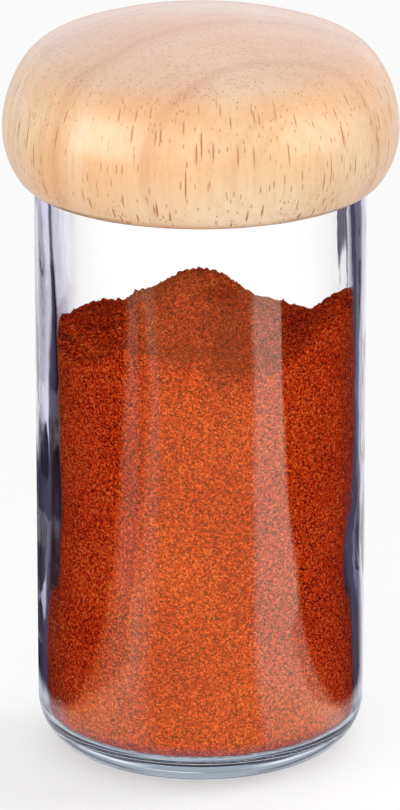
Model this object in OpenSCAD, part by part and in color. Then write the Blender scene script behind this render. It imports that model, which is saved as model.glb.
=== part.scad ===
// Glass spice jar with a turned wooden lid, a shaker insert and a fill of ground spice
// Units are millimetres, +Z is up and the origin is the middle of the base on the shelf

/* [Glass body] */
// Outside diameter of the straight wall
jar_d = 48; // [46:0.5:52]
// Height of the top of the straight wall
wall_top = 85.2; // [82:0.1:105]
// Thickness of the straight wall
wall_t = 2.4; // [1.8:0.1:3]
// Thickness of the glass floor at its edge
floor_t = 4.2; // [3:0.1:7]
// Rise of the glass floor from its edge to its middle
floor_rise = 1.2; // [0.6:0.1:2]
// Outside radius of the heel
heel_r = 7.5; // [4:0.5:9]
// Inside radius between the floor and the wall
inner_heel_r = 2.4; // [1.5:0.1:5]
// Width of the flat ring that the jar stands on
bearing_w = 1.8; // [1:0.1:3]
// Depth of the hollow under the base
punt_h = 1.6; // [0.8:0.1:2.2]
// Outside radius of the shoulder
shoulder_r = 5; // [4:0.1:6]

/* [Glass neck] */
// Step in from the straight wall to the neck
neck_inset = 4.2; // [3.8:0.1:5]
// Radius between the shoulder and the neck
neck_root_r = 1; // [0.8:0.1:2]
// Length of the neck above its root
neck_len = 9.5; // [8.6:0.1:14]
// Thickness of the neck
neck_t = 2.2; // [2:0.1:2.8]
// How far the bead stands out from the neck
bead_out = 0.7; // [0.4:0.05:1]
// Height of the bead
bead_h = 3; // [2:0.1:4]
// Distance from the rim down to the bead
bead_drop = 1.6; // [1:0.1:3]
// Rounding of the rim
rim_r = 0.8; // [0.4:0.1:1]
// Inside radius of the shoulder
inner_shoulder_r = 4; // [3.5:0.5:5]
// Inside radius between the shoulder and the neck
throat_r = 1.5; // [1.5:0.5:3]
// Distance from the neck's root down to the throat
throat_drop = 0.9; // [0.5:0.1:3]

/* [Ground spice] */
// Height of the fill beside the wall
fill_z = 62; // [30:1:64]
// Height of the heap in the middle of the fill
heap_h = 9.5; // [0:0.5:10]
// Width of that heap
heap_w = 7; // [5:0.5:12]
// Gap between the fill and the glass
fill_gap = 0.2; // [0.1:0.05:0.4]

/* [Shaker insert] */
// Thickness of the flange on the rim
flange_t = 1; // [0.8:0.1:1.6]
// Step in from the neck's outside to the flange's edge
flange_inset = 0.6; // [0.2:0.1:1.4]
// Gap between the cup and the neck's bore
cup_gap = 0.35; // [0.2:0.05:0.6]
// Gap between the sealing fins and the neck's bore
fin_gap = 0.05; // [0.02:0.01:0.1]
// Height of one sealing fin
fin_h = 0.8; // [0.5:0.1:1.2]
// Distance between the two sealing fins
fin_pitch = 2.2; // [1.6:0.1:2.4]
// Thickness of the cup's wall
cup_t = 1.1; // [0.8:0.1:1.4]
// Depth of the shaker plate below the rim
plate_drop = 4.4; // [4:0.1:7]
// Thickness of the shaker plate
plate_t = 1.2; // [0.8:0.1:2]
// Length of the cup's wall below the shaker plate
tail_len = 1.4; // [0.6:0.1:2]
// Diameter of a shaker hole
hole_d = 3; // [2:0.1:4]
// Distance between the rings of shaker holes
hole_pitch = 5.2; // [4.5:0.1:6]
// Number of rings of shaker holes round the middle one
hole_rings = 2; // [1:1:2]

/* [Inner cap] */
// Thickness of the disc
disc_t = 1.2; // [0.8:0.1:2]
// Gap between the grip skirt and the neck's bead
grip_gap = 0.08; // [0.02:0.01:0.1]
// Thickness of the grip skirt
grip_t = 1.2; // [1:0.1:1.5]
// Gap between the grip skirt's lower edge and the glass
skirt_lift = 0.4; // [0.2:0.1:1]
// Height of the grip ribs on the outside of the skirt
rib_out = 0.5; // [0.3:0.1:0.8]
// Width of a grip rib
rib_w = 0.9; // [0.6:0.1:1.4]
// Number of grip ribs
rib_n = 24; // [8:1:36]
// Gap between the grip ribs and the wood
rib_gap = 0.05; // [0.02:0.01:0.1]
// Gap between the plug and the shaker's cup
plug_gap = 1.3; // [1:0.1:1.6]
// Thickness of the plug's wall
plug_t = 1.1; // [0.8:0.1:1.6]
// Length of the plug
plug_len = 3.8; // [3.4:0.1:4.2]
// Depth of the groove for the seal ring
groove_d = 0.4; // [0.2:0.05:0.6]

/* [Seal ring] */
// Height of the seal ring
seal_h = 2; // [1.4:0.1:2.4]
// Gap between the lips of the seal ring and the shaker's cup
lip_gap = 0.04; // [0.02:0.01:0.1]
// Depth of the notch between the lips
lip_notch = 0.55; // [0.2:0.05:0.7]

/* [Wooden lid] */
// How far the lid's widest part stands out past the straight wall
lid_overhang = 4.5; // [4:0.1:7]
// Radius of the side above the widest part
side_r = 16.5; // [14:0.1:20]
// Radius of the corner between the side and the crown
corner_r = 9.1; // [7:0.1:11]
// Radius of the side below the widest part
lower_r = 11.7; // [10:0.1:13]
// Rounding of the lid's lower edge
lid_edge_r = 4; // [3:0.1:4.4]
// Gap between the top of the straight wall and the lid's mouth
mouth_lift = 0.4; // [0.2:0.1:2]
// Gap between the lid's mouth and the straight wall
cover_gap = 0.3; // [0.2:0.05:0.5]
// Chamfer at the lid's mouth
mouth_chamfer = 0.3; // [0.1:0.1:0.6]

/* [Hidden] */
$fn = 96;

jar_r = jar_d / 2;
inner_r = jar_r - wall_t;
neck_r = jar_r - neck_inset;
bore_r = neck_r - neck_t;
bead_r = neck_r + bead_out;
cup_r = bore_r - cup_gap;
cup_in_r = cup_r - cup_t;
grip_in_r = bead_r + grip_gap;
grip_r = grip_in_r + grip_t;
recess_r = grip_r + rib_out + rib_gap;
plug_r = cup_in_r - plug_gap;
lid_r = jar_r + lid_overhang;
cover_r = jar_r + cover_gap;

// Two arcs that meet smoothly: how far up the second centre lies from the first
function rise(step, sum) = sqrt(sum * sum - (sum - step) * (sum - step));

neck_root_z = wall_top + rise(neck_inset, shoulder_r + neck_root_r);
rim_z = neck_root_z + neck_len;
seat_z = rim_z + flange_t;
ceiling_z = seat_z + disc_t;
plate_z = rim_z - plate_drop;
throat_z = neck_root_z - throat_drop;
inner_top = throat_z - rise(inner_r - bore_r, inner_shoulder_r + throat_r);
skirt_z = neck_root_z + skirt_lift;

// The lid's outline turns through these angles from the widest part to each arc's end
side_turn = 35;
corner_turn = 70;
lower_turn = 35;
edge_centre_r = lid_r - lower_r * (1 - cos(lower_turn)) - lid_edge_r * cos(lower_turn);
mouth_turn = acos((cover_r + mouth_chamfer - edge_centre_r) / lid_edge_r);
mouth_z = wall_top + mouth_lift;
edge_centre_z = mouth_z + lid_edge_r * sin(mouth_turn);
belly_z = edge_centre_z + (lower_r - lid_edge_r) * sin(lower_turn);
crown_r = (lid_r - side_r * (1 - cos(side_turn)) - corner_r * (cos(side_turn) - cos(corner_turn)))
    / cos(corner_turn);

// Lesser heaps and hollows of the fill as shares of the inner radius: x, y, width, height
MOUNDS = [
    [1, -0.05, 0.2, 6],
    [0.85, -0.5, 0.3, 6],
    [-0.5, -0.95, 0.2, 4.5],
    [0, -0.85, 0.18, 3],
    [-0.45, 0.25, 0.15, 2],
    [-0.95, -0.05, 0.2, 3],
    [-0.95, 0.5, 0.2, 1.5],
];
// Place of the middle heap's top
heap_x = 0;
heap_y = 2;
// Steps of the fill's mesh round the axis, along its corner and across its top
fill_sides = 48;
fill_corner_steps = 4;
fill_rings = 10;

// Share of a sealing fin's height that its lower slope takes
fin_slope = 0.7;
// Distance from the rim's rounding down to the upper fin
fin_drop = 0.5;
// Chamfer where a moulded wall enters its seat
lead_in = 0.5;
// Distance that the grip ribs stop short of the skirt's two ends
rib_inset = 1;
// Thickness of a lip of the seal ring
lip_h = 0.35;

// Points of an arc in the r, z plane
function arc(cr, cz, r, a0, a1, steps) =
    [for (i = [0:steps]) let (a = a0 + (a1 - a0) * i / steps) [cr + r * cos(a), cz + r * sin(a)]];

// Points of a shallow dome from its edge to the axis, or back
function dome(r, z, height, steps) =
    let (big = (r * r + height * height) / (2 * height), half = asin(r / big))
    [for (i = [0:steps]) let (a = half * (1 - i / steps)) [big * sin(a), z + height - big + big * cos(a)]];
function reversed(points) = [for (i = [len(points) - 1:-1:0]) points[i]];

// Two arcs that meet smoothly, from an upright wall at r in to an upright neck at r - step
function ogee(r, z, step, first_r, second_r, steps) =
    let (sum = first_r + second_r, a = acos((sum - step) / sum), up = rise(step, sum))
    concat(arc(r - first_r, z, first_r, 0, a, steps),
           arc(r - step + second_r, z + up, second_r, 180 + a, 180, steps));

// The bead as one arc bulging out of the neck
function bead_arc(steps) =
    let (half = bead_h / 2, r = (half * half + bead_out * bead_out) / (2 * bead_out), a = asin(half / r))
    arc(bead_r - r, rim_z - bead_drop - half, r, -a, a, steps);

module glass_jar() {
    outside = concat(
        reversed(dome(jar_r - heel_r - bearing_w, 0, punt_h, 10)),
        arc(jar_r - heel_r, heel_r, heel_r, -90, 0, 24),
        ogee(jar_r, wall_top, neck_inset, shoulder_r, neck_root_r, 10),
        bead_arc(10),
        arc(neck_r - rim_r, rim_z - rim_r, rim_r, 0, 90, 6));
    inside = concat(
        arc(bore_r + rim_r, rim_z - rim_r, rim_r, 90, 180, 6),
        reversed(ogee(inner_r, inner_top, inner_r - bore_r, inner_shoulder_r, throat_r, 10)),
        arc(inner_r - inner_heel_r, floor_t + inner_heel_r, inner_heel_r, 0, -90, 8),
        dome(inner_r - inner_heel_r, floor_t, floor_rise, 10));
    color("lightcyan", 0.4) rotate_extrude() polygon(concat(outside, inside));
}

// Height of the fill's top at one place
function bell(x, y, w) = exp(-(x * x + y * y) / (2 * w * w));
function fill_top(x, y) =
    let (s = inner_r, lesser = [for (m = MOUNDS) m[3] * bell(x - m[0] * s, y - m[1] * s, m[2] * s)])
    fill_z + heap_h * bell(x - heap_x, y - heap_y, heap_w) + lesser * [for (m = MOUNDS) 1];

// The fill as one closed skin: floor, rounded corner, heaped top
module ground_spice() {
    edge_r = inner_r - fill_gap;
    foot_r = inner_heel_r;
    low = floor_t + fill_gap;
    floor_line = reversed(dome(edge_r - foot_r, low, floor_rise, 3));
    corner_line = arc(edge_r - foot_r, low + foot_r, foot_r, -90, 0, fill_corner_steps);
    skirt = concat([for (i = [1:len(floor_line) - 2]) floor_line[i]], corner_line);
    turns = [for (k = [0:fill_sides - 1]) [cos(360 * k / fill_sides), sin(360 * k / fill_sides)]];
    low_points = [for (p = skirt) for (t = turns) [p[0] * t[0], p[0] * t[1], p[1]]];
    top_points = [for (i = [fill_rings:-1:1]) let (r = edge_r * i / fill_rings)
        for (t = turns) [r * t[0], r * t[1], fill_top(r * t[0], r * t[1])]];
    rings = len(skirt) + fill_rings;
    last = rings * fill_sides;
    points = concat(low_points, top_points, [[0, 0, low + floor_rise], [0, 0, fill_top(0, 0)]]);
    walls = [for (i = [0:rings - 2]) for (k = [0:fill_sides - 1])
        let (a = i * fill_sides + k, b = i * fill_sides + (k + 1) % fill_sides)
        each [[a, a + fill_sides, b], [b, a + fill_sides, b + fill_sides]]];
    bottom = [for (k = [0:fill_sides - 1]) [last, k, (k + 1) % fill_sides]];
    top_ring = last - fill_sides;
    top = [for (k = [0:fill_sides - 1]) [last + 1, top_ring + (k + 1) % fill_sides, top_ring + k]];
    color("orangered") polyhedron(points, concat(walls, bottom, top));
}

// One pointed sealing fin on the outside of the shaker's cup, as points going up
function fin(z) =
    let (tip_r = bore_r - fin_gap)
    [[cup_r, z], [tip_r, z + fin_h * fin_slope], [tip_r, z + fin_h], [cup_r, z + fin_h]];

module sifter() {
    flange_r = neck_r - flange_inset;
    cup_z = plate_z - plate_t - tail_len;
    upper_fin = rim_z - rim_r - fin_h - fin_drop;
    shape = concat(
        [[0, plate_z - plate_t], [cup_in_r, plate_z - plate_t], [cup_in_r, cup_z], [cup_r, cup_z]],
        fin(upper_fin - fin_pitch),
        fin(upper_fin),
        [[cup_r, rim_z], [flange_r, rim_z], [flange_r, seat_z], [cup_in_r, seat_z]],
        [[cup_in_r, plate_z], [0, plate_z]]);
    color("whitesmoke") difference() {
        rotate_extrude() polygon(shape);
        for (ring = [0:hole_rings])
            for (k = [0:max(1, 6 * ring) - 1])
                rotate(360 * k / max(1, 6 * ring))
                    translate([ring * hole_pitch, 0, plate_z - 2 * plate_t])
                        cylinder(d = hole_d, h = 3 * plate_t, $fn = 32);
    }
}

module inner_cap() {
    plug_z = seat_z - plug_len;
    groove_z = seat_z - plug_len / 2;
    shape = [
        [0, seat_z], [plug_r - plug_t, seat_z],
        [plug_r - plug_t, plug_z], [plug_r - lead_in, plug_z], [plug_r, plug_z + lead_in],
        [plug_r, groove_z - seal_h / 2], [plug_r - groove_d, groove_z - seal_h / 2],
        [plug_r - groove_d, groove_z + seal_h / 2], [plug_r, groove_z + seal_h / 2],
        [plug_r, seat_z], [grip_in_r, seat_z],
        [grip_in_r, skirt_z + lead_in], [grip_in_r + lead_in, skirt_z], [grip_r, skirt_z],
        [grip_r, ceiling_z], [0, ceiling_z]];
    color("ivory") union() {
        rotate_extrude() polygon(shape);
        for (k = [0:rib_n - 1])
            rotate(360 * k / rib_n)
                intersection() {
                    translate([grip_r - grip_t / 2, -rib_w / 2, skirt_z + rib_inset])
                        cube([grip_t + rib_out, rib_w, ceiling_z - skirt_z - 2 * rib_inset]);
                    cylinder(r = grip_r + rib_out, h = ceiling_z);
                }
    }
}

module seal_ring() {
    mid = seat_z - plug_len / 2;
    low = mid - seal_h / 2;
    high = mid + seal_h / 2;
    back_r = plug_r - groove_d;
    lip_r = cup_in_r - lip_gap;
    shape = [
        [back_r, low], [plug_r, low], [lip_r, low + lip_h], [lip_r, low + 2 * lip_h],
        [lip_r - lip_notch, mid],
        [lip_r, high - 2 * lip_h], [lip_r, high - lip_h], [plug_r, high], [back_r, high]];
    color("gainsboro") rotate_extrude() polygon(shape);
}

module wooden_lid() {
    side_end = [lid_r - side_r * (1 - cos(side_turn)), belly_z + side_r * sin(side_turn)];
    corner_centre = side_end - corner_r * [cos(side_turn), sin(side_turn)];
    crown_end = corner_centre + corner_r * [cos(corner_turn), sin(corner_turn)];
    crown_z = crown_end[1] - crown_r * sin(corner_turn);
    outline = concat(
        [[0, ceiling_z], [recess_r, ceiling_z], [recess_r, skirt_z], [cover_r, skirt_z]],
        [[cover_r, mouth_z + mouth_chamfer]],
        arc(edge_centre_r, edge_centre_z, lid_edge_r, -mouth_turn, -lower_turn, 12),
        arc(lid_r - lower_r, belly_z, lower_r, -lower_turn, 0, 12),
        arc(lid_r - side_r, belly_z, side_r, 0, side_turn, 14),
        arc(corner_centre[0], corner_centre[1], corner_r, side_turn, corner_turn, 14),
        arc(0, crown_z, crown_r, corner_turn, 90, 12));
    color("burlywood") rotate_extrude() polygon(outline);
}

glass_jar();
ground_spice();
sifter();
inner_cap();
seal_ring();
wooden_lid();
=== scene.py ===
"""Looks of a spice jar: uneven clear glass, heaped ground spice, moulded inner pieces and a turned lid."""

import math

import bmesh
import bpy
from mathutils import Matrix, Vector, noise

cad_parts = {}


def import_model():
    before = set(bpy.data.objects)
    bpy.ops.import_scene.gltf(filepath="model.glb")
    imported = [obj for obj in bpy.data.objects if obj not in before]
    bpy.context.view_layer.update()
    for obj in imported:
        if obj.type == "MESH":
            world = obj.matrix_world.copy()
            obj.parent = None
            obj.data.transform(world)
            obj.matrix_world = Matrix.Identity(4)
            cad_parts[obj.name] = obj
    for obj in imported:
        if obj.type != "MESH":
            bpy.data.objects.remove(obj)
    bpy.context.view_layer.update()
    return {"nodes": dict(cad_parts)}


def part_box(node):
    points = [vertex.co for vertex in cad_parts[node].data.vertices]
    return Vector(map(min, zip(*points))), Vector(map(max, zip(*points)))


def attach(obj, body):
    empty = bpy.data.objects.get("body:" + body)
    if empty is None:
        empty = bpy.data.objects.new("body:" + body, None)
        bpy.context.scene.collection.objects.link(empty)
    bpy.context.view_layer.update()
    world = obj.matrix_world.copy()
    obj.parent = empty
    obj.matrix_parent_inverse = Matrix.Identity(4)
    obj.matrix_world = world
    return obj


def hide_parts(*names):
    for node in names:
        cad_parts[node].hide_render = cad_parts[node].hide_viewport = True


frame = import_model()

MM = 0.001
MERGE_M = 1e-7

# Sizes in millimetres, as the part's source has them
JAR_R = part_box("glass_jar")[1].x / MM
RIM_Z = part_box("glass_jar")[1].z / MM
LID_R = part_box("wooden_lid")[1].x / MM
MOUTH_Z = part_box("wooden_lid")[0].z / MM
CEILING_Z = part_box("inner_cap")[1].z / MM
WALL_TOP = 85.2
WALL_T = 2.4
FLOOR_T = 4.2
FLOOR_RISE = 1.2
HEEL_R = 7.5
INNER_HEEL_R = 2.4
BEARING_W = 1.8
PUNT_H = 1.6
SHOULDER_R = 5
NECK_INSET = 4.2
NECK_ROOT_R = 1
NECK_T = 2.2
BEAD_OUT = 0.7
BEAD_H = 3
BEAD_DROP = 1.6
RIM_R = 0.8
INNER_SHOULDER_R = 4
THROAT_R = 1.5
THROAT_DROP = 0.9
RECESS_R = 22.33
SKIRT_LIFT = 0.4
COVER_R = JAR_R + 0.3
MOUTH_CHAMFER = 0.3
SIDE_R = 16.5
CORNER_R = 9.1
LOWER_R = 11.7
LID_EDGE_R = 4
SIDE_TURN = 35
CORNER_TURN = 70
LOWER_TURN = 35
FILL_Z = 62
HEAP = (0, 2, 9.5, 7)
MOUNDS = (
    (1, -0.05, 0.2, 6),
    (0.85, -0.5, 0.3, 6),
    (-0.5, -0.95, 0.2, 4.5),
    (0, -0.85, 0.18, 3),
    (-0.45, 0.25, 0.15, 2),
    (-0.95, -0.05, 0.2, 3),
    (-0.95, 0.5, 0.2, 1.5),
)
INNER_R = JAR_R - WALL_T
NECK_R = JAR_R - NECK_INSET
BORE_R = NECK_R - NECK_T


def smooth(x, low, high):
    """0 below low, 1 above high and a smooth step between."""
    t = min(1, max(0, (x - low) / (high - low)))
    return t * t * (3 - 2 * t)


def arc(cr, cz, r, start, end, steps):
    """Points of an arc in the radius and height plane, by angles in degrees."""
    angles = [math.radians(start + (end - start) * i / steps) for i in range(steps + 1)]
    return [(cr + r * math.cos(a), cz + r * math.sin(a)) for a in angles]


def line(a, b, steps):
    """Points between a and b, without the two ends."""
    return [(a[0] + (b[0] - a[0]) * i / steps, a[1] + (b[1] - a[1]) * i / steps) for i in range(1, steps)]


def dome(r, z, height, steps):
    """A shallow dome from its edge to the axis."""
    big = (r * r + height * height) / (2 * height)
    half = math.degrees(math.asin(r / big))
    return arc(0, z + height - big, big, 90 - half, 90, steps)


def rise(step, total):
    """How far two arcs that meet smoothly climb over a step."""
    return math.sqrt(total * total - (total - step) ** 2)


def ogee(r, z, step, first_r, second_r, steps):
    """Two arcs from an upright wall in to an upright neck."""
    total = first_r + second_r
    turn = math.degrees(math.acos((total - step) / total))
    up = rise(step, total)
    first = arc(r - first_r, z, first_r, 0, turn, steps)
    second = arc(r - step + second_r, z + up, second_r, 180 + turn, 180, steps)
    return first + second[1:]


NECK_ROOT_Z = WALL_TOP + rise(NECK_INSET, SHOULDER_R + NECK_ROOT_R)
INNER_TOP = NECK_ROOT_Z - THROAT_DROP - rise(INNER_R - BORE_R, INNER_SHOULDER_R + THROAT_R)


# Meshes

def lathe(outline, steps):
    """A closed turned shape about Z from (radius, height) points that start and end on the axis."""
    bm = bmesh.new()
    points = [bm.verts.new((r * MM, 0, z * MM)) for r, z in outline]
    edges = [bm.edges.new(pair) for pair in zip(points, points[1:])]
    bmesh.ops.spin(bm, geom=points + edges, cent=(0, 0, 0), axis=(0, 0, 1),
                   angle=2 * math.pi, steps=steps, use_merge=True)
    bmesh.ops.remove_doubles(bm, verts=bm.verts, dist=MERGE_M)
    bmesh.ops.recalc_face_normals(bm, faces=bm.faces)
    return bm


def piece(name, bm, material, body, crease=None):
    """Turns a bmesh into a smooth piece that rides on a body."""
    for face in bm.faces:
        face.smooth = True
    mesh = bpy.data.meshes.new(name)
    bm.to_mesh(mesh)
    bm.free()
    if crease:
        mesh.set_sharp_from_angle(angle=math.radians(crease))
    mesh.materials.append(material)
    made = bpy.data.objects.new(name, mesh)
    bpy.context.scene.collection.objects.link(made)
    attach(made, body)
    return made


# Thickness of the uneven glass wall in millimetres: at the foot, in the middle, and at each side above
FOOT_WALL = 1.75
MIDDLE_WALL = 2.2
LEFT_WALL = 3.3
RIGHT_WALL = 1.9
TOP_LEFT = -0.8
TOP_RIGHT = 0.3
STREAK = 0.05
STREAK_W = 3.2
SHOULDER_BLEND = 3.5
# Knurls round the heel, just off the floor
KNURLS = 28
KNURL_H = 0.15
KNURL_TOP = 0.8


def wall_at(x, y, z):
    """Thickness of the glass wall at a place: thin near the foot, and uneven at the two sides."""
    across = x / max(1e-6, math.hypot(x, y))
    side = smooth(abs(across), 0, 0.87)
    wall = FOOT_WALL + (MIDDLE_WALL - FOOT_WALL) * smooth(z, 10, 27)
    if across < 0:
        wall += side * ((LEFT_WALL - MIDDLE_WALL) * smooth(z, 13, 38) + TOP_LEFT * smooth(z, 54, 88))
    else:
        wall += side * ((RIGHT_WALL - MIDDLE_WALL) * smooth(z, 25, 39) + TOP_RIGHT * smooth(z, 54, 88))
    wall += STREAK * noise.noise(Vector((x, y, z * 0.16)) / STREAK_W)
    top = smooth(z, INNER_TOP, INNER_TOP + SHOULDER_BLEND)
    return wall * (1 - top) + WALL_T * top


def glass_jar():
    heel = JAR_R - HEEL_R
    bead_half = BEAD_H / 2
    bead = (bead_half ** 2 + BEAD_OUT ** 2) / (2 * BEAD_OUT)
    bead_turn = math.degrees(math.asin(bead_half / bead))
    foot = FLOOR_T + INNER_HEEL_R
    floor_r = INNER_R - INNER_HEEL_R
    outside = (
        dome(heel - BEARING_W, 0, PUNT_H, 12)[::-1]
        + arc(heel, HEEL_R, HEEL_R, -90, 0, 30)
        + line((JAR_R, HEEL_R), (JAR_R, WALL_TOP), 50)
        + ogee(JAR_R, WALL_TOP, NECK_INSET, SHOULDER_R, NECK_ROOT_R, 14)
        + arc(NECK_R + BEAD_OUT - bead, RIM_Z - BEAD_DROP - bead_half, bead, -bead_turn, bead_turn, 12)
        + arc(NECK_R - RIM_R, RIM_Z - RIM_R, RIM_R, 0, 90, 8)
    )
    inside = (
        arc(BORE_R + RIM_R, RIM_Z - RIM_R, RIM_R, 90, 180, 8)
        + ogee(INNER_R, INNER_TOP, INNER_R - BORE_R, INNER_SHOULDER_R, THROAT_R, 14)[::-1]
        + line((INNER_R, INNER_TOP), (INNER_R, foot), 80)
        + arc(floor_r, foot, INNER_HEEL_R, 0, -90, 12)
        + dome(floor_r, FLOOR_T, FLOOR_RISE, 12)[1:]
    )
    bm = lathe(outside + inside, 224)
    for v in bm.verts:
        x, y, z = v.co / MM
        r = math.hypot(x, y)
        if z < KNURL_TOP and r > heel + 0.5:
            v.co.z += KNURL_H * MM * max(0, math.sin(KNURLS * math.atan2(y, x))) ** 2
        if FLOOR_T - 0.5 < z < INNER_TOP + SHOULDER_BLEND and 0.1 < r < INNER_R + 0.05:
            share = (JAR_R - wall_at(x, y, z)) / INNER_R
            v.co.x *= share
            v.co.y *= share
    made = piece("jar_glass", bm, glass_look(), "jar", crease=50)
    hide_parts("glass_jar")


def bell(x, y, width):
    return math.exp(-(x * x + y * y) / (2 * width * width))


def fill_height(x, y):
    """Height of the fill's top, by the same formula as the solid's."""
    hx, hy, height, width = HEAP
    lesser = sum(m[3] * bell(x - m[0] * INNER_R, y - m[1] * INNER_R, m[2] * INNER_R) for m in MOUNDS)
    return FILL_Z + height * bell(x - hx, y - hy, width) + lesser


# Grains and clumps of the spice, in millimetres
CLUMP = 3.0
CLUMP_H = 0.3
CRUMB = 1.0
CRUMB_H = 0.45
GRAIN = 0.55
GRAIN_H = 0.55
SPICE_GAP = 0.05
PIT_DEPTH = 0.12
FILL_CORNER_R = 3.0
LOOSE = "loose"


def ground_spice():
    mark = FILL_Z
    low = FLOOR_T + 0.15
    foot = low + FILL_CORNER_R
    floor_r = INNER_R - FILL_CORNER_R
    outline = (
        dome(floor_r, low, FLOOR_RISE, 8)[::-1]
        + arc(floor_r, foot, FILL_CORNER_R, -90, 0, 12)[1:]
        + line((INNER_R, foot), (INNER_R, mark), 50)
        + [(INNER_R, mark)]
        + line((INNER_R, mark), (0, mark), 120)
        + [(0, mark)]
    )
    bm = lathe(outline, 400)
    loose = bm.verts.layers.float.new(LOOSE)
    for v in bm.verts:
        x, y, z = v.co / MM
        r = math.hypot(x, y)
        share = smooth_share(z, foot, mark)
        if share > 0:
            z = foot + (fill_height(x, y) - foot) * share
        p = Vector((x, y, z))
        fine = noise.noise(p / GRAIN)
        if share > 0.999:
            inward = smooth(INNER_R - r, 0, 1.2)
            z += CLUMP_H * noise.noise(p / CLUMP) * (0.4 + 0.6 * inward)
            z += CRUMB_H * noise.noise(p / CRUMB) + GRAIN_H * fine
            v[loose] = inward
        if r > 0.1:
            wall_in = JAR_R - wall_at(x, y, z) - SPICE_GAP
            pit = PIT_DEPTH * max(0, fine) * share if r > INNER_R - 0.01 else 0
            scale = (wall_in - pit) / INNER_R
            x *= scale
            y *= scale
        v.co = Vector((x, y, z)) * MM
    bmesh.ops.recalc_face_normals(bm, faces=bm.faces)
    made = piece("red_spice", bm, spice_look(), "jar")
    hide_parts("ground_spice")


def smooth_share(z, low, high):
    """How far a height lies between two others, from 0 to 1."""
    return min(1, max(0, (z - low) / (high - low)))


def wooden_lid():
    side, corner, lower = (math.radians(a) for a in (SIDE_TURN, CORNER_TURN, LOWER_TURN))
    edge_r = LID_R - LOWER_R * (1 - math.cos(lower)) - LID_EDGE_R * math.cos(lower)
    mouth = math.acos((COVER_R + MOUTH_CHAMFER - edge_r) / LID_EDGE_R)
    edge_z = MOUTH_Z + LID_EDGE_R * math.sin(mouth)
    belly = edge_z + (LOWER_R - LID_EDGE_R) * math.sin(lower)
    side_r = LID_R - SIDE_R * (1 - math.cos(side))
    side_z = belly + SIDE_R * math.sin(side)
    corner_r = side_r - CORNER_R * math.cos(side)
    corner_z = side_z - CORNER_R * math.sin(side)
    crown_r = (corner_r + CORNER_R * math.cos(corner)) / math.cos(corner)
    crown_z = corner_z + CORNER_R * math.sin(corner) - crown_r * math.sin(corner)
    skirt_z = NECK_ROOT_Z + SKIRT_LIFT
    outline = (
        [(0, CEILING_Z)]
        + line((0, CEILING_Z), (RECESS_R, CEILING_Z), 8)
        + [(RECESS_R, CEILING_Z), (RECESS_R, skirt_z), (COVER_R, skirt_z), (COVER_R, MOUTH_Z + MOUTH_CHAMFER)]
        + arc(edge_r, edge_z, LID_EDGE_R, -math.degrees(mouth), -LOWER_TURN, 14)
        + arc(LID_R - LOWER_R, belly, LOWER_R, -LOWER_TURN, 0, 16)[1:]
        + arc(LID_R - SIDE_R, belly, SIDE_R, 0, SIDE_TURN, 18)[1:]
        + arc(corner_r, corner_z, CORNER_R, SIDE_TURN, CORNER_TURN, 18)[1:]
        + arc(0, crown_z, crown_r, CORNER_TURN, 90, 28)[1:]
    )
    made = piece("lid_wood", lathe(outline, 224), wood_look(), "lid", crease=40)
    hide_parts("wooden_lid")


# Materials

class Value:
    """A node socket that adds Math nodes when it is used in an expression."""

    def __init__(self, nodes, socket):
        self.nodes = nodes
        self.socket = socket

    def math(self, operation, *others):
        inputs = dict(enumerate((self, *others)))
        return self.nodes.add("ShaderNodeMath", {"operation": operation}, inputs)

    def __add__(self, other):
        return self.math("ADD", other)

    def __mul__(self, other):
        return self.math("MULTIPLY", other)

    def __sub__(self, other):
        return self.math("SUBTRACT", other)

    def __rsub__(self, other):
        return (self * -1).math("ADD", other)

    def __truediv__(self, other):
        return self.math("DIVIDE", other)

    def __pow__(self, other):
        return self.math("POWER", other)

    __radd__ = __add__
    __rmul__ = __mul__


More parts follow.
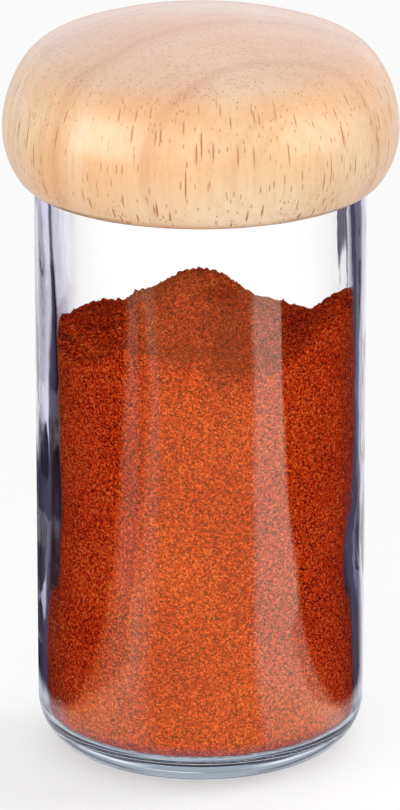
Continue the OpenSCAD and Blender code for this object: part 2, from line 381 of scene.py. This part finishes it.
class Nodes:
    """The node tree of a material or a world."""

    def __init__(self, owner):
        owner.use_nodes = True
        self.tree = owner.node_tree
        self.tree.nodes.clear()

    def add(self, kind, settings=None, inputs=None, output=0):
        """Adds one node: its settings first, then the values or links of its sockets."""
        made = self.tree.nodes.new(kind)
        for name, value in (settings or {}).items():
            if name == "stops":
                elements = made.color_ramp.elements
                while len(elements) < len(value):
                    elements.new(1)
                for element, (place, color) in zip(elements, value):
                    element.position = place
                    element.color = (*color, 1)
            else:
                setattr(made, name, value)
        for name, value in (inputs or {}).items():
            if isinstance(value, Value):
                self.tree.links.new(value.socket, made.inputs[name])
            else:
                made.inputs[name].default_value = value
        return Value(self, made.outputs[output])

    def split(self, where):
        """The three parts of a place as values."""
        first = self.add("ShaderNodeSeparateXYZ", inputs={"Vector": where}, output="X")
        return [Value(self, first.socket.node.outputs[k]) for k in "XYZ"]

    def rays(self, *kinds):
        """Values that are 1 for a kind of ray."""
        node = self.tree.nodes.new("ShaderNodeLightPath")
        return [Value(self, node.outputs[kind]) for kind in kinds]

    def place(self, scale=(1, 1, 1)):
        """Object coordinates, stretched."""
        return self.stretch(self.add("ShaderNodeTexCoord", output="Object"), scale)

    def stretch(self, where, scale):
        return self.add("ShaderNodeMapping", inputs={"Vector": where, "Scale": scale})

    def noise(self, where, scale, detail=2.0, rough=0.5, warp=0.0):
        inputs = {"Vector": where, "Scale": scale, "Detail": detail, "Roughness": rough, "Distortion": warp}
        return self.add("ShaderNodeTexNoise", inputs=inputs)

    def cells(self, where, scale, output="Distance"):
        return self.add("ShaderNodeTexVoronoi", inputs={"Vector": where, "Scale": scale}, output=output)

    def ramp(self, value, stops):
        return self.add("ShaderNodeValToRGB", {"stops": stops}, {"Fac": value})

    def step(self, value, low, high, bottom=0.0, top=1.0):
        """A smooth step of a value."""
        inputs = {"Value": value, "From Min": low, "From Max": high, "To Min": bottom, "To Max": top}
        return self.add("ShaderNodeMapRange", {"interpolation_type": "SMOOTHSTEP"}, inputs)

    def mix(self, share, a, b, blend="MIX"):
        settings = {"data_type": "RGBA", "blend_type": blend}
        return self.add("ShaderNodeMix", settings, {0: share, 6: a, 7: b}, output=2)

    def bump(self, height, strength, distance, below=None):
        inputs = {"Height": height, "Strength": strength, "Distance": distance}
        if below:
            inputs["Normal"] = below
        return self.add("ShaderNodeBump", inputs=inputs, output="Normal")

    def surface(self, shader):
        out = "ShaderNodeOutputWorld" if self.tree.id_data.bl_rna.identifier == "World" else None
        self.add_end(out or "ShaderNodeOutputMaterial", shader)

    def add_end(self, kind, shader):
        end = self.tree.nodes.new(kind)
        self.tree.links.new(shader.socket, end.inputs["Surface"])


def look(name):
    material = bpy.data.materials.new(name)
    return material, Nodes(material)


def rgb(red, green, blue):
    """A colour as the screen shows it, from 0 to 255, as the linear value that a shader takes."""
    linear = []
    for part in (red, green, blue):
        c = part / 255
        linear.append(c / 12.92 if c <= 0.04045 else ((c + 0.055) / 1.055) ** 2.4)
    return tuple(linear)


def flat(color):
    return (*color, 1)


# A painted shade on the glass wall's grazing edge, standing in for the dark violet edges that glass shows of its
# surroundings, and the radius past which it applies
EDGE_SHADE_TINT = rgb(186, 183, 206)
OUTSIDE_M = 0.0233
# A streaked blue grey painted shade on the thick base, standing in for the shade under the jar that the base shows,
# below these heights and past these radii
BASE_SHADE_BLUE = rgb(212, 219, 228)
BASE_BAND = (0.006, 0.005)
BASE_R = (0.0165, 0.018)
# A dark blue painted shade on the knurls, standing in for the shadowed gaps under them
KNURL_SHADE = rgb(84, 96, 116)


def glass_look():
    """Clear glass with a violet painted shade on its wall where the view grazes it, and painted shade low on its
    base and at its knurls. Lamps shine through.
    """
    material, n = look("clear_glass")
    where = n.place()
    x, y, z = n.split(where)
    facing = n.add("ShaderNodeLayerWeight", inputs={"Blend": 0.5}, output="Facing")
    streaks = n.noise(n.place((1, 1, 0.14)), 260, 2)
    edge = facing + (streaks - 0.5) * 0.2
    radius = (x * x + y * y) ** 0.5
    outside = n.step(radius, OUTSIDE_M, OUTSIDE_M + 0.0004)
    outer = n.step(radius, *BASE_R)
    # Painted shade: the outer wall darkens to violet where the view grazes it
    edge_shade = n.step(edge, 0.66, 0.8) * outside
    tint = n.mix(edge_shade, (1, 1, 1, 1), flat(EDGE_SHADE_TINT))
    rings = n.step(n.noise(n.place((0.15, 0.15, 2.4)), 900, 3, 0.65), 0.35, 0.65, 0.7, 1.0)
    # Painted shade: a streaked blue grey band low on the base's outside
    tint = n.mix(n.step(z, *BASE_BAND) * outer * rings, tint, flat(BASE_SHADE_BLUE))
    # Painted shade in the gaps under the knurls round the heel
    knurl = (azimuth(x, y) * (math.radians(1) * KNURLS)).math("SINE")
    knurl = n.step(knurl, 0.5, 0.8) * n.step(z, 0.0008, 0.0006) * n.step(radius, 0.017, 0.0174)
    tint = n.mix(knurl, tint, flat(KNURL_SHADE))
    ripple = n.noise(where, 140, 1.5)
    normal = n.bump(ripple, 0.2, 0.0002)
    glass = n.add("ShaderNodeBsdfPrincipled", inputs={
        "Base Color": tint, "Roughness": 0.0, "IOR": 1.5, "Transmission Weight": 1.0, "Normal": normal})
    through = n.add("ShaderNodeBsdfTransparent", inputs={"Color": flat(rgb(250, 251, 252))})
    shadow, = n.rays("Is Shadow Ray")
    n.surface(n.add("ShaderNodeMixShader", inputs={0: shadow, 1: glass, 2: through}))
    return material


# Dark patches near the front of the heap, partly dark clumps and partly painted shade in crevices and under a
# ledge: place across and height, half width and half height, in mm
CLUMP_SHADE_SPOTS = [(4.2, 65.5, 3.6, 5.5), (13.2, 68, 2.2, 2.8), (-14, 66, 3, 2.5)]


def spice_look():
    """Ground red spice: fine grains of several reds and pale flakes, with dark patches on its loose top and at its
    front that are partly dark clumps and partly painted shade.
    """
    material, n = look("red_spice")
    where = n.place()
    grain = n.cells(where, 5200, "Color")
    tone = n.add("ShaderNodeSeparateColor", inputs={"Color": grain})
    clump = n.noise(where, 2200, 3, 0.7)
    cloud = n.noise(where, 60, 2, 0.5)
    shade = tone * 1.05 + clump * 1.6 + cloud * 0.5 - 1.06
    color = n.ramp(shade, [
        (0.0, rgb(84, 8, 4)), (0.2, rgb(142, 24, 3)), (0.4, rgb(202, 50, 3)),
        (0.7, rgb(228, 66, 6)), (0.9, rgb(238, 80, 12)), (1.0, rgb(248, 124, 52))])
    loose = n.add("ShaderNodeAttribute", {"attribute_name": LOOSE}, output="Fac")
    lumps_and_shade = n.noise(where, 190, 3, 0.6)
    # Dark patches where the top lies loose: partly dark clumps, partly painted shade in the top's crevices
    color = n.mix(loose * n.step(lumps_and_shade, 0.5, 0.66, 0.03, 0.5), color, (0.5, 0.24, 0.8, 1), "MULTIPLY")
    x, y, height = n.split(where)
    clump_shade = 0.0
    for across, up, half_width, half_height in CLUMP_SHADE_SPOTS:
        spot = ((x / MM - across) / half_width) ** 2 + ((height / MM - up) / half_height) ** 2
        clump_shade = n.step(spot ** 0.5 + (lumps_and_shade - 0.5) * 3, 1.0, 0.5) + clump_shade
    # Painted shade mixed with dark clumps, on the front of the fill only
    color = n.mix(clump_shade * y.math("LESS_THAN", 0) * 0.55, color, (0.5, 0.26, 0.8, 1), "MULTIPLY")
    relief = (1 - n.cells(where, 3600)) * 0.6 + n.noise(where, 2600, 2, 0.6) * 0.7
    normal = n.bump(relief, 0.8, 0.0002)
    spice = n.add("ShaderNodeBsdfPrincipled", inputs={
        "Base Color": color, "Roughness": 0.9, "Specular IOR Level": 0.1, "Normal": normal})
    n.surface(spice)
    return material


# Middle of the tree that the lid's wood came from, in metres from the jar's axis
PITH = (0.024, -0.058, 0)
# Heights in metres between which the lid's side turns to its end grain, whose pinkish grey is partly the end
# grain's own dullness and partly a painted sheen, and where it is most amber
CROWN_Z = (0.099, 0.108)
AMBER_Z = 0.1025
AMBER_H = 0.0035
# Heights in metres below which the lid's lower side gets painted light across its middle and painted shade at its
# sides
FOOT_Z = (0.097, 0.088)
PORE_BROWN = rgb(188, 116, 48)


def wood_look():
    """Pale straight-grained hardwood with brown pores along the jar's axis, under satin lacquer, with a painted
    sheen on its crown and painted light and shade on its lower side.
    """
    material, n = look("lid_wood")
    wander = n.noise(n.place((1, 1, 0.3)), 60, 3)
    off = n.add("ShaderNodeVectorMath", {"operation": "SUBTRACT"}, {0: n.place((1, 1, 0.1)), 1: PITH})
    reach = n.add("ShaderNodeVectorMath", {"operation": "LENGTH"}, {0: off}, output="Value")
    age = reach + (wander - 0.5) * 0.006
    season = n.noise(n.add("ShaderNodeCombineXYZ", inputs={"X": age}), 190, 4, 0.6)
    broad = n.noise(n.place((1, 1, 0.5)), 42, 2)
    fibre = n.noise(n.place((1, 1, 0.04)), 1300, 4, 0.65)
    speckle = n.noise(n.place(), 1500, 3, 0.6)
    color = n.mix(n.step(broad, 0.35, 0.62), flat(rgb(255, 228, 186)), flat(rgb(246, 196, 142)))
    color = n.mix(n.step(season, 0.46, 0.68) * 0.5, color, flat(rgb(214, 146, 104)))
    color = n.mix(n.step(season, 0.48, 0.36) * 0.45, color, flat(rgb(255, 226, 192)))
    color = n.mix(n.step(fibre, 0.4, 0.75) * 0.35, color, flat(rgb(216, 158, 104)))
    color = n.mix(n.step(speckle, 0.5, 0.8) * 0.3, color, flat(rgb(206, 146, 100)))
    x, y, height = n.split(n.place())
    crown = n.step(height, *CROWN_Z)
    amber = n.step((height - AMBER_Z).math("ABSOLUTE"), AMBER_H, 0)
    # The crown's pinkish grey: partly duller end grain, partly a painted sheen of the sky
    color = n.mix(crown * 0.45, color, flat(rgb(208, 164, 158)))
    color = n.mix(amber * 0.3, color, flat(rgb(240, 176, 104)))
    # Painted light and shade on the lower side: lighter across its middle, darker amber towards its sides
    front = n.step(x.math("ABSOLUTE"), 0.022, 0.006)
    foot = n.step(height, *FOOT_Z)
    color = n.mix(foot * front * 0.4, color, flat(rgb(255, 230, 196)))
    color = n.mix(foot * (1 - front) * 0.25, color, flat(rgb(224, 150, 88)))
    late = n.step(season, 0.4, 0.6, 0.4, 0.95)
    outward = ((x * x + y * y) ** 0.5 / (LID_R * MM)) ** -0.75
    side = n.add("ShaderNodeCombineXYZ", inputs={"X": x * outward, "Y": y * outward, "Z": height})
    marks = pores(n, side, 1400, (1, 1, 0.06), 0.27, late)
    marks = marks.math("MAXIMUM", pores(n, side, 1000, (1, 1, 0.065), 0.17, late))
    marks = marks * (1 - crown)
    dots = pores(n, n.place(), 2000, (1, 1, 0.14), 0.3, late * 0.8) * 0.7
    marks = marks.math("MAXIMUM", dots)
    color = n.mix(marks, color, flat(PORE_BROWN))
    normal = n.bump(1 - marks, 0.25, 0.0001)
    rough = 0.3 + fibre * 0.1 + marks * 0.2
    wood = n.add("ShaderNodeBsdfPrincipled", inputs={
        "Base Color": color, "Roughness": rough, "Normal": normal,
        "Coat Weight": 1.0, "Coat Roughness": 0.24})
    n.surface(wood)
    return material


def pores(n, where, scale, stretch, size, share):
    """Spindle-shaped pores along the grain, in a share of the cells of a stretched lattice."""
    where = n.stretch(where, stretch)
    pick = n.add("ShaderNodeSeparateColor", inputs={"Color": n.cells(where, scale, "Color")})
    inside = n.step(n.cells(where, scale), size, size * 0.5)
    return inside * (share - pick).math("GREATER_THAN", 0)


def moulded_look(name, color, roughness, glow):
    """Moulded plastic or silicone with a faint mottle and a fine skin."""
    material, n = look(name)
    where = n.place()
    mottle = n.noise(where, 90, 3)
    skin = n.noise(where, 5200, 2)
    shade = n.mix(n.step(mottle, 0.3, 0.7), flat(color), flat([c * 0.93 for c in color]))
    shell = n.add("ShaderNodeBsdfPrincipled", inputs={
        "Base Color": shade, "Roughness": roughness + mottle * 0.08, "Subsurface Weight": glow,
        "Subsurface Scale": 0.002, "Normal": n.bump(skin, 0.08, 0.0001)})
    n.surface(shell)
    return material


def inner_pieces():
    """The moulded pieces under the lid keep their solids and get their finishes."""
    looks = {
        "sifter": moulded_look("white_plastic", rgb(236, 236, 232), 0.34, 0.1),
        "inner_cap": moulded_look("ivory_plastic", rgb(234, 229, 216), 0.38, 0.08),
        "seal_ring": moulded_look("silicone", rgb(228, 230, 228), 0.5, 0.25),
    }
    for name, material in looks.items():
        node = frame["nodes"][name]
        node.data.materials.clear()
        node.data.materials.append(material)


# Stage

def azimuth(across, ahead):
    """Direction round the jar in degrees: 0 towards the camera, 90 to its right."""
    return across.math("ARCTAN2", ahead) * math.degrees(1)


WHITE = (1, 1, 1, 1)
SKY = (1.0, 0.98, 1.0, 1)
AMBIENT = (0.5, 0.5, 0.51, 1)
# Bright boxes that the lid's lacquer mirrors: direction and half width in degrees, and brightness
BOXES = ((-58, 19, 3.4), (68, 18, 2.6))
# Glass shows a dark card at each side, between these directions in degrees, and white behind it
CARD = flat(rgb(78, 73, 98))
PALE_CARD = flat(rgb(176, 172, 196))
LINE = flat(rgb(34, 28, 38))
SIDE_PALE = (0.8, 0.78, 0.98, 1)
CARD_START = (78, 86)
LEFT_CARD_END = (140, 148)
RIGHT_CARD_END = (153, 158)
# The cards are darkest at their front
DARK_END = (130, 141)
DARK = flat(rgb(30, 16, 16))
BEHIND_GLASS = 1.2
# Past the floor, glass shows a blue grey straight behind the jar
BACK_START = (155, 168)
BACK_GREY = flat(rgb(176, 184, 196))


def side_cards(n, color, turn, right, left_card, left_far, inner):
    """A card at each side of what glass shows, the right one with a thin darker line past it."""
    start = n.step(turn, *CARD_START) * inner.math("MAXIMUM", n.step(turn, *DARK_END))
    left_end = n.step(turn, *LEFT_CARD_END) * left_far
    right_end = n.step(turn, *RIGHT_CARD_END)
    end = left_end + (right_end - left_end) * right
    line = n.step((turn - 165).math("ABSOLUTE"), 2, 1) * right
    beyond = end * n.step(turn, 168, 160)
    color = n.mix(line, n.mix(beyond, color, SIDE_PALE), LINE)
    card = n.mix(n.step(turn, *DARK_END), DARK, n.mix(right, left_card, CARD))
    return n.mix(start * (1 - end), color, card)


def inner_rays(n):
    """1 for rays that the glass's inner face has mirrored or that light the spice, 0 for those straight through."""
    mirrored, scattered = n.rays("Glossy Depth", "Diffuse Depth")
    return mirrored.math("MAXIMUM", scattered).math("GREATER_THAN", 0.5)


def world():
    """White to the camera, dark cards through glass, a soft grey light, and a pale sky in reflections."""
    made = bpy.data.worlds.new("studio")
    bpy.context.scene.world = made
    n = Nodes(made)
    camera, glossy, through = n.rays("Is Camera Ray", "Is Glossy Ray", "Is Transmission Ray")
    inner = inner_rays(n)
    x, y, z = n.split(n.add("ShaderNodeTexCoord", output="Generated"))
    angle = azimuth(x, y * -1)
    low = n.step(z, -0.12, 0.0) * n.step(z, 0.62, 0.45)
    shine = 0.0
    for middle, half, strength in BOXES:
        share = n.step((angle - middle).math("ABSOLUTE"), half + 4, half - 4)
        shine = share * strength + shine
    mirrored = n.mix(low, SKY, n.add("ShaderNodeCombineColor", inputs={
        "Red": shine + SKY[0], "Green": shine + SKY[1], "Blue": shine + SKY[2]}))
    turn = angle.math("ABSOLUTE")
    card = n.mix(n.step(turn, *DARK_END), DARK, CARD)
    behind = n.mix(n.step(turn, *CARD_START), flat([BEHIND_GLASS] * 3), card)
    behind = n.mix(inner, flat([BEHIND_GLASS] * 3), behind)
    behind = n.mix(n.step(turn, *BACK_START), behind, BACK_GREY)
    behind = n.mix(n.step(z.math("ABSOLUTE"), 0.3, 0.2), behind, BACK_GREY)
    color = n.mix(glossy, n.mix(camera, AMBIENT, WHITE), mirrored)
    color = n.mix(through, color, behind)
    n.surface(n.add("ShaderNodeBackground", inputs={"Color": color, "Strength": 1.0}))


FLOOR_R = 4.0
# The floor's white to the camera, and the part of it that its diffuse light gives where nothing shades it
FLOOR_WHITE = 0.96
FLOOR_LIT = 0.62
# Radii and distances ahead between which the floor's shading fades out, and its share beside the jar
SHADE_R = (0.16, 0.045)
SHADE_AHEAD = (-0.02, 0.0)
SIDE_SHADE = 0.2
# What the lid's lacquer, which mirrors softly, shows of the floor
LACQUER_FLOOR = (0.8, 0.66, 0.6, 1)
# Under the jar, and round its foot, glass shows a streaked blue grey: a painted shadow under the jar, streaked with
# paler painted caustic light
UNDER_R = (0.042, 0.034)
UNDER_SHADOW = rgb(172, 180, 193)
UNDER_PALE = rgb(250, 252, 255)
# Behind the jar on the left, glass shows a dark patch near it and one far off, and a pale card beside it
PATCH_R = (0.16, 0.145)
FAR_R = (0.25, 0.29)
PALE_R = (0.13, 0.17)
PALE_TURN = (142, 149)
DARK_R = (0.13, 0.15)
# A black patch there: direction in degrees and distance, with their half widths
LENS_TURN = (155, 11)
LENS_R = (0.142, 0.02)
# How far from the axis the rays leave the jar's side walls
EXIT_R = 0.022
# The floor's reflection in upright glass, in metres: where its bright middle ends on the left and right
LEFT_END = 0.0365
RIGHT_END = 0.038
RIGHT_SLOPE = 1.13
SOFT_EDGE = 0.006
SIDE_GLOW = (0.01, 0.01, 0.012, 1)
MIDDLE_GLOW = (2.0, 0.78, 0.28, 1)
FOOT_GLOW = (0.75, 0.8, 0.86, 1)
BAND_GLOW = (2.1, 1.75, 1.35, 1)


def shown_in_gloss(n, x, ahead, angle, far):
    """Colour of the floor in reflections: a warm middle, a bright band at each of its ends and dark sides."""
    past_left = x * -1 - ahead - LEFT_END
    past_right = x - ahead * RIGHT_SLOPE - RIGHT_END
    left_side = n.step(past_left, SOFT_EDGE, -SOFT_EDGE)
    right_side = n.step(past_right, SOFT_EDGE, -SOFT_EDGE)
    turn = angle.math("ABSOLUTE")
    right_turn = azimuth(x - EXIT_R, ahead).math("ABSOLUTE")
    front = n.step(turn, 100, 90)
    middle = left_side * right_side * front * n.step(far, 0.24, 0.17, 0.55, 1.0) * n.step(far, 0.29, 0.265)
    near = n.step(far, 0.02, 0.1, 0.5, 1.0)
    left_band = n.step(past_left, -0.064, -0.044) * n.step(past_left, -0.004, -0.022)
    right_band = n.step(angle, 32, 38) * right_side
    band = (left_band * 0.6).math("MAXIMUM", right_band) * front * near
    right = x.math("GREATER_THAN", 0)
    left_far = n.step(far, *DARK_R).math("MAXIMUM", right)
    behind = n.step(turn, 140, 154).math("MAXIMUM", n.step(right_turn, 140, 154) * right) * left_far
    color = n.mix(middle, SIDE_GLOW, MIDDLE_GLOW)
    color = n.mix(band, color, BAND_GLOW)
    color = n.mix(n.step(far, 0.043, 0.035), color, FOOT_GLOW)
    return n.mix(behind, color, SKY)


def shown_through(n, color, x, ahead, angle, far):
    """Colour of the floor through glass: what its inner face mirrors in front, and cards behind it."""
    wander = (n.noise(n.place(), 60, 2) - 0.5) * 0.03
    patches = n.step(far + wander, *PATCH_R) + n.step(far + wander, *FAR_R)
    inner = inner_rays(n)
    beside = n.step(x, -0.002, -0.008) * patches * inner
    turn = azimuth(x.math("ABSOLUTE") - EXIT_R, ahead).math("ABSOLUTE")
    left_card = n.mix(n.step(far + wander, *PALE_R) * n.step(turn, *PALE_TURN), CARD, PALE_CARD)
    lens = (((turn - LENS_TURN[0]) / LENS_TURN[1]) ** 2 + ((far - LENS_R[0]) / LENS_R[1]) ** 2) ** 0.5
    lens = n.step(lens, 1, 0.7)
    behind = n.mix(beside, flat([BEHIND_GLASS] * 3), CARD)
    right = x.math("GREATER_THAN", 0)
    behind = side_cards(n, behind, turn, right, left_card, n.step(far, *DARK_R), inner)
    behind = n.mix(lens * inner * x.math("LESS_THAN", 0), behind, LINE)
    color = n.mix(inner, flat([BEHIND_GLASS] * 3), color)
    color = n.mix(n.step(angle.math("ABSOLUTE"), 90, 100), color, behind)
    rings = n.add("ShaderNodeCombineXYZ", inputs={"X": far, "Y": angle * 0.0001})
    # Painted shadow under the jar, streaked with painted caustic light, as glass shows it
    streaks = n.step(n.noise(rings, 1400, 3, 0.6), 0.35, 0.7)
    under = n.mix(streaks, flat(UNDER_SHADOW), flat(UNDER_PALE))
    return n.mix(n.step(far, *UNDER_R), color, under)


def floor():
    """A pale floor that keeps the jar's shadow and looks white to the camera."""
    bm = bmesh.new()
    bmesh.ops.create_circle(bm, cap_ends=True, radius=FLOOR_R, segments=96)
    mesh = bpy.data.meshes.new("floor")
    bm.to_mesh(mesh)
    bm.free()
    made = bpy.data.objects.new("floor", mesh)
    bpy.context.scene.collection.objects.link(made)
    material, n = look("floor")
    mesh.materials.append(material)
    x, y, _ = n.split(n.place())
    ahead = y * -1
    far = (x * x + y * y) ** 0.5
    angle = azimuth(x, ahead)
    camera, glossy, through = n.rays("Is Camera Ray", "Is Glossy Ray", "Is Transmission Ray")
    dull = n.add("ShaderNodeBsdfDiffuse", inputs={"Color": (0.8, 0.8, 0.8, 1)})
    white = n.add("ShaderNodeEmission", inputs={"Color": flat([FLOOR_WHITE] * 3)})
    lift = n.add("ShaderNodeEmission", inputs={"Color": flat([FLOOR_WHITE - FLOOR_LIT] * 3)})
    shaded = n.add("ShaderNodeAddShader", inputs={0: dull, 1: lift})
    near = n.step(far, *SHADE_R) * n.step(ahead, *SHADE_AHEAD, SIDE_SHADE, 1.0)
    seen = n.add("ShaderNodeMixShader", inputs={0: near, 1: white, 2: shaded})
    sharp, = n.rays("Is Singular Ray")
    gloss = n.mix(sharp, LACQUER_FLOOR, shown_in_gloss(n, x, ahead, angle, far))
    mirrored = n.add("ShaderNodeEmission", inputs={"Color": gloss})
    swept = n.add("ShaderNodeEmission", inputs={"Color": shown_through(n, gloss, x, ahead, angle, far)})
    surface = n.add("ShaderNodeMixShader", inputs={0: camera, 1: dull, 2: seen})
    surface = n.add("ShaderNodeMixShader", inputs={0: glossy, 1: surface, 2: mirrored})
    n.surface(n.add("ShaderNodeMixShader", inputs={0: through, 1: surface, 2: swept}))


AIM = Vector((0, 0, 0.06))


def lamp(name, place, size, watts, color=(1, 1, 1)):
    """A soft square lamp that points at the jar and shows in no reflection."""
    light = bpy.data.lights.new(name, "AREA")
    light.size = size
    light.energy = watts
    light.color = color
    made = bpy.data.objects.new(name, light)
    made.location = place
    made.rotation_euler = (AIM - Vector(place)).to_track_quat("-Z", "Y").to_euler()
    made.visible_glossy = False
    made.visible_camera = False
    made.visible_transmission = False
    bpy.context.scene.collection.objects.link(made)


def lamps():
    lamp("front", (-0.1, -1.05, 0.5), 0.7, 6.2)
    lamp("left", (-0.9, -0.3, 0.4), 0.5, 0.7)
    lamp("right", (0.8, 0.3, 0.6), 0.5, 2.8)
    lamp("top", (0.2, 0.7, 0.9), 0.6, 1.2)


# The camera's place and view, fitted to the photograph's outlines of the lid, wall and base
CAMERA_ELEVATION = 18.5
CAMERA_DISTANCE = 0.865
CAMERA_PIVOT = Vector((0, 0, 0.05))
CAMERA_AIM = Vector((-0.00012, 0, 0.05154))
LONG_SIDE_MM = 36
HALF_VIEW_TANGENT = 0.0682


def camera():
    data = bpy.data.cameras.new("camera")
    data.sensor_width = LONG_SIDE_MM
    data.lens = LONG_SIDE_MM / 2 / HALF_VIEW_TANGENT
    made = bpy.data.objects.new("camera", data)
    up = math.radians(CAMERA_ELEVATION)
    made.location = CAMERA_PIVOT + Vector((0, -math.cos(up), math.sin(up))) * CAMERA_DISTANCE
    made.rotation_euler = (CAMERA_AIM - made.location).to_track_quat("-Z", "Y").to_euler()
    bpy.context.scene.collection.objects.link(made)
    bpy.context.scene.camera = made


glass_jar()
ground_spice()
wooden_lid()
inner_pieces()
floor()
world()
lamps()
camera()
bpy.context.scene.view_settings.view_transform = "Standard"
